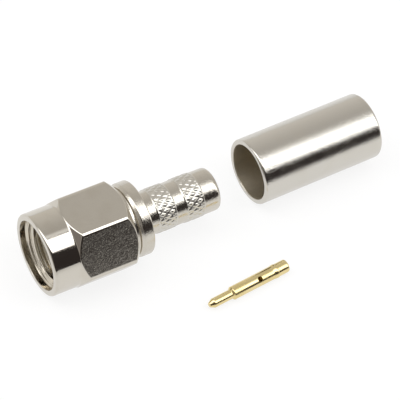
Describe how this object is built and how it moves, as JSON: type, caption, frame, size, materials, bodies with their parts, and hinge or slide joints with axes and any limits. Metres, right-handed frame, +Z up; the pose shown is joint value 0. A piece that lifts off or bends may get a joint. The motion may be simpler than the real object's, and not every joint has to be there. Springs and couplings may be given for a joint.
{
  "type": "crimp coaxial plug with coupling nut",
  "caption": "Miniature threaded coaxial crimp plug: connector body with captive hexagonal coupling nut, crimp ferrule and gold centre contact, laid out unassembled.",
  "frame": {"origin": "on the connector's axis in the mating plane, which is the front face of the tubular outer contact", "axes": "+X along the connector's axis from the mating side to the cable side, +Z up with the nut lying on one of its flats, +Y to the left of +X"},
  "size_m": [0.0358, 0.0145, 0.008],
  "materials": {
    "nut_nickel": "nickel plated, polished where turned, fine satin on the milled flats",
    "body_nickel": "nickel plated, polished",
    "ferrule_nickel": "nickel plated, slightly grained drawn tube",
    "gold": "gold plated, polished",
    "spring_bronze": "bare spring bronze",
    "fluoropolymer": "waxy white",
    "silicone": "matte red-orange silicone"
  },
  "bodies": {
    "connector": {"connector_body": "body_nickel", "insulator": "fluoropolymer", "snap_ring": "spring_bronze", "gasket": "silicone", "center_contact": "gold", "crimp_ferrule": "ferrule_nickel"},
    "nut": {"coupling_nut": "nut_nickel"}
  },
  "joints": [
    {"name": "nut_spin", "type": "hinge", "parent": "connector", "child": "nut", "pos_m": [0.0016, 0, 0], "axis": [1, 0, 0], "continuous": true}
  ]
}
